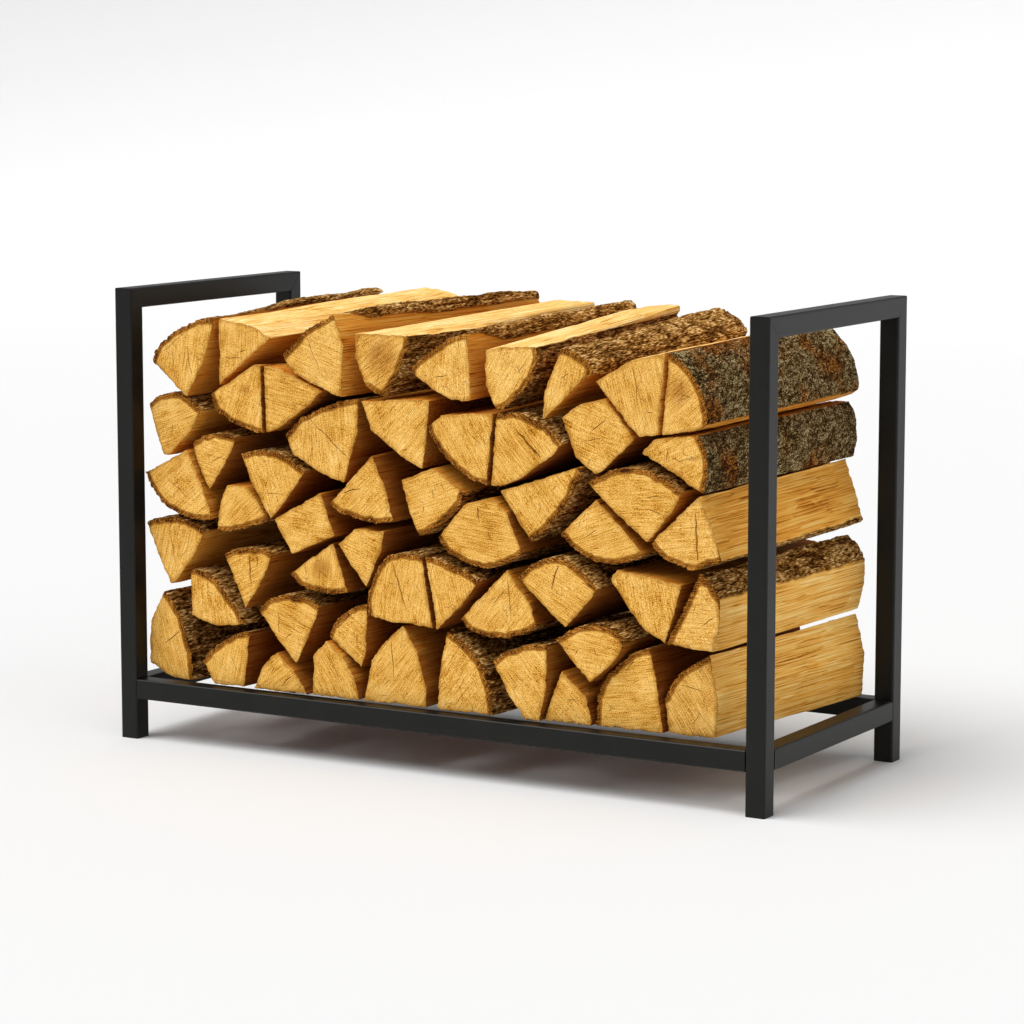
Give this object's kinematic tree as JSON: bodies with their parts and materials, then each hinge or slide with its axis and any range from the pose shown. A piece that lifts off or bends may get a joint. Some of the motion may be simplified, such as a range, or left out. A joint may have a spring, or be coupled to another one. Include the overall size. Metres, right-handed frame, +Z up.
{
  "type": "firewood log rack",
  "caption": "Free-standing firewood rack of square steel tube with two rectangular end frames and two low rails, filled with split logs whose top course lifts off.",
  "frame": {"origin": "middle of the footprint, on the floor", "axes": "+X along the rack, left to right seen from the front; +Y from the front to the rear; +Z up"},
  "size_m": [0.9, 0.375, 0.566],
  "materials": {
    "powder_coated_steel": "satin black powder coat",
    "split_firewood": "rough split and sawn, partly with bark"
  },
  "bodies": {
    "rack": {"left_front_upright": "powder_coated_steel", "left_rear_upright": "powder_coated_steel", "left_top_bar": "powder_coated_steel", "left_lower_cross_bar": "powder_coated_steel", "right_front_upright": "powder_coated_steel", "right_rear_upright": "powder_coated_steel", "right_top_bar": "powder_coated_steel", "right_lower_cross_bar": "powder_coated_steel", "front_rail": "powder_coated_steel", "rear_rail": "powder_coated_steel", "upper_log_01": "split_firewood", "upper_log_02": "split_firewood", "upper_log_03": "split_firewood", "upper_log_04": "split_firewood", "upper_log_05": "split_firewood", "upper_log_06": "split_firewood", "upper_log_07": "split_firewood", "middle_log_01": "split_firewood", "middle_log_02": "split_firewood", "middle_log_03": "split_firewood", "middle_log_04": "split_firewood", "middle_log_05": "split_firewood", "middle_log_06": "split_firewood", "middle_log_07": "split_firewood", "middle_log_08": "split_firewood", "middle_log_09": "split_firewood", "middle_log_10": "split_firewood", "middle_log_11": "split_firewood", "lower_log_01": "split_firewood", "lower_log_02": "split_firewood", "lower_log_03": "split_firewood", "lower_log_04": "split_firewood", "lower_log_05": "split_firewood", "lower_log_06": "split_firewood", "lower_log_07": "split_firewood", "lower_log_08": "split_firewood", "lower_log_09": "split_firewood", "lower_log_10": "split_firewood", "lower_log_11": "split_firewood", "bottom_log_01": "split_firewood", "bottom_log_02": "split_firewood", "bottom_log_03": "split_firewood", "bottom_log_04": "split_firewood", "bottom_log_05": "split_firewood", "bottom_log_06": "split_firewood", "bottom_log_07": "split_firewood", "bottom_log_08": "split_firewood", "bottom_log_09": "split_firewood", "bottom_log_10": "split_firewood", "bottom_log_11": "split_firewood", "bottom_log_12": "split_firewood", "bottom_log_13": "split_firewood"},
    "top_log_01": {"top_log_01": "split_firewood"},
    "top_log_02": {"top_log_02": "split_firewood"},
    "top_log_03": {"top_log_03": "split_firewood"},
    "top_log_04": {"top_log_04": "split_firewood"},
    "top_log_05": {"top_log_05": "split_firewood"},
    "top_log_06": {"top_log_06": "split_firewood"},
    "top_log_07": {"top_log_07": "split_firewood"},
    "top_log_08": {"top_log_08": "split_firewood"}
  },
  "joints": [
    {"name": "top_log_01_lift", "type": "slide", "parent": "rack", "child": "top_log_01", "axis": [0, 0, 1], "range_m": [0, 0.2]},
    {"name": "top_log_02_lift", "type": "slide", "parent": "rack", "child": "top_log_02", "axis": [0, 0, 1], "range_m": [0, 0.2]},
    {"name": "top_log_03_lift", "type": "slide", "parent": "rack", "child": "top_log_03", "axis": [0, 0, 1], "range_m": [0, 0.2]},
    {"name": "top_log_04_lift", "type": "slide", "parent": "rack", "child": "top_log_04", "axis": [0, 0, 1], "range_m": [0, 0.2]},
    {"name": "top_log_05_lift", "type": "slide", "parent": "rack", "child": "top_log_05", "axis": [0, 0, 1], "range_m": [0, 0.2]},
    {"name": "top_log_06_lift", "type": "slide", "parent": "rack", "child": "top_log_06", "axis": [0, 0, 1], "range_m": [0, 0.2]},
    {"name": "top_log_07_lift", "type": "slide", "parent": "rack", "child": "top_log_07", "axis": [0, 0, 1], "range_m": [0, 0.2]},
    {"name": "top_log_08_lift", "type": "slide", "parent": "rack", "child": "top_log_08", "axis": [0, 0, 1], "range_m": [0, 0.2]}
  ]
}
